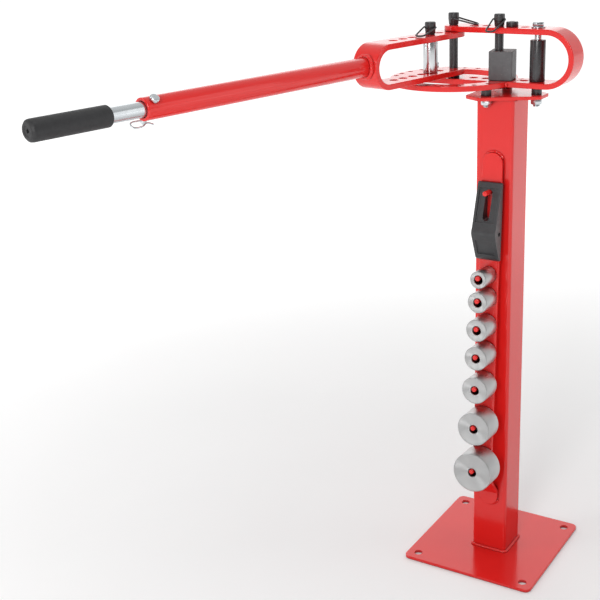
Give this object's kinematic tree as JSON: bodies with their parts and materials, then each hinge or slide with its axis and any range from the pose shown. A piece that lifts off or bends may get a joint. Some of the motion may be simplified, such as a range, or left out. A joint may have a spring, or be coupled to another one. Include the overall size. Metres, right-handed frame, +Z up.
{
  "type": "manual tube bender",
  "caption": "Floor-standing manual tube bender: pedestal with die rack, index plate, swinging U frame with telescopic handle, drop pins and turned dies.",
  "frame": {"origin": "middle of the base plate's underside, at the centre of the four floor bolt holes", "axes": "+Z up, -Y towards the die rack side of the post, +X towards the closed end of the fixed support frame"},
  "size_m": [0.4179, 0.9843, 1.0453],
  "materials": {
    "red_paint": "gloss powder coat",
    "black_oxide": "black oxide, semi gloss",
    "block_steel": "dark phosphated steel, matte",
    "zinc_plate": "zinc plated",
    "turned_steel": "turned, bright plated",
    "chrome": "bright plated",
    "rubber_grip": "matte moulded rubber"
  },
  "bodies": {
    "stand": {"base_plate": "red_paint", "post_tube": "red_paint", "foot_weld": "red_paint", "top_plate": "red_paint", "top_weld": "red_paint", "rack_strip": "red_paint", "rack_welds": "red_paint", "die_pegs": "red_paint", "former_peg": "red_paint", "support_frame": "red_paint", "index_plate": "red_paint", "frame_weld": "red_paint", "mount_spacers": "black_oxide", "mount_studs": "zinc_plate", "mount_nuts": "zinc_plate", "long_bolt": "zinc_plate", "bolt_washer": "zinc_plate", "stop_bolt": "zinc_plate", "stop_nut": "zinc_plate", "pivot_bush": "black_oxide"},
    "swing": {"swing_frame": "red_paint", "handle_tube": "red_paint", "handle_weld": "red_paint"},
    "handle_bar": {"handle_bar": "zinc_plate", "handle_grip": "rubber_grip"},
    "centre_pin": {"centre_pin": "black_oxide"},
    "centre_bail": {"centre_bail": "black_oxide"},
    "roller_pin": {"roller_pin": "black_oxide"},
    "roller_bail": {"roller_bail": "black_oxide"},
    "roller_sleeve": {"roller_sleeve": "chrome"},
    "block_pin": {"block_pin": "black_oxide"},
    "block_bail": {"block_bail": "black_oxide"},
    "square_block": {"square_block": "block_steel"},
    "hole_plug": {"hole_plug": "black_oxide"},
    "roller_tube": {"roller_tube": "black_oxide"},
    "lock_pin": {"lock_pin": "zinc_plate"},
    "lock_clip": {"lock_clip": "zinc_plate"},
    "die_1": {"die_1": "turned_steel"},
    "die_2": {"die_2": "turned_steel"},
    "die_3": {"die_3": "turned_steel"},
    "die_4": {"die_4": "turned_steel"},
    "die_5": {"die_5": "turned_steel"},
    "die_6": {"die_6": "turned_steel"},
    "die_7": {"die_7": "turned_steel"},
    "wedge_former": {"wedge_former": "black_oxide"}
  },
  "joints": [
    {"name": "arm_swing", "type": "hinge", "parent": "stand", "child": "swing", "pos_m": [-0.09, 0.003, 0.97635], "axis": [0, 0, 1], "range_deg": [-104, 57]},
    {"name": "centre_pin_lift", "type": "slide", "parent": "stand", "child": "centre_pin", "axis": [0, 0, 1], "range_m": [0, 0.13]},
    {"name": "centre_bail_turn", "type": "hinge", "parent": "centre_pin", "child": "centre_bail", "pos_m": [-0.09, 0.003, 1.0358], "axis": [0.0698, -0.9976, 0], "range_deg": [0, 190]},
    {"name": "roller_pin_lift", "type": "slide", "parent": "swing", "child": "roller_pin", "axis": [0, 0, 1], "range_m": [0, 0.105]},
    {"name": "roller_bail_turn", "type": "hinge", "parent": "roller_pin", "child": "roller_bail", "pos_m": [-0.10316, -0.06229, 1.026], "axis": [-0.9994, -0.0349, 0], "range_deg": [0, 190]},
    {"name": "roller_spin", "type": "hinge", "parent": "swing", "child": "roller_sleeve", "pos_m": [-0.10316, -0.06229, 0.97635], "axis": [0, 0, 1], "continuous": true},
    {"name": "block_pin_lift", "type": "slide", "parent": "stand", "child": "block_pin", "axis": [0, 0, 1], "range_m": [0, 0.13]},
    {"name": "block_bail_turn", "type": "hinge", "parent": "block_pin", "child": "block_bail", "pos_m": [-0.0029, 0.003, 1.0358], "axis": [-1, 0, 0], "range_deg": [0, 190]},
    {"name": "block_swivel", "type": "hinge", "parent": "stand", "child": "square_block", "pos_m": [-0.0029, 0.003, 0.958], "axis": [0, 0, 1], "continuous": true},
    {"name": "plug_lift", "type": "slide", "parent": "stand", "child": "hole_plug", "axis": [0, 0, 1], "range_m": [0, 0.03]},
    {"name": "roller_tube_spin", "type": "hinge", "parent": "stand", "child": "roller_tube", "pos_m": [0.0685, 0.003, 0.968], "axis": [0, 0, 1], "continuous": true},
    {"name": "handle_extend", "type": "slide", "parent": "swing", "child": "handle_bar", "axis": [-0.1977, -0.9803, 0], "range_m": [0, 0.3]},
    {"name": "lock_pin_lift", "type": "slide", "parent": "swing", "child": "lock_pin", "axis": [0.6301, -0.1271, 0.766], "range_m": [0, 0.005]},
    {"name": "lock_clip_pull", "type": "slide", "parent": "lock_pin", "child": "lock_clip", "axis": [-0.1977, -0.9803, 0], "range_m": [0, 0.035]},
    {"name": "die_1_slide", "type": "slide", "parent": "stand", "child": "die_1", "axis": [0, -0.9986, 0.0523], "range_m": [0, 0.055]},
    {"name": "die_2_slide", "type": "slide", "parent": "stand", "child": "die_2", "axis": [0, -0.9986, 0.0523], "range_m": [0, 0.055]},
    {"name": "die_3_slide", "type": "slide", "parent": "stand", "child": "die_3", "axis": [0, -0.9986, 0.0523], "range_m": [0, 0.055]},
    {"name": "die_4_slide", "type": "slide", "parent": "stand", "child": "die_4", "axis": [0, -0.9986, 0.0523], "range_m": [0, 0.055]},
    {"name": "die_5_slide", "type": "slide", "parent": "stand", "child": "die_5", "axis": [0, -0.9986, 0.0523], "range_m": [0, 0.055]},
    {"name": "die_6_slide", "type": "slide", "parent": "stand", "child": "die_6", "axis": [0, -0.9986, 0.0523], "range_m": [0, 0.055]},
    {"name": "die_7_slide", "type": "slide", "parent": "stand", "child": "die_7", "axis": [0, -0.9986, 0.0523], "range_m": [0, 0.055]},
    {"name": "former_slide", "type": "slide", "parent": "stand", "child": "wedge_former", "axis": [0, -0.9986, 0.0523], "range_m": [0, 0.04]}
  ]
}
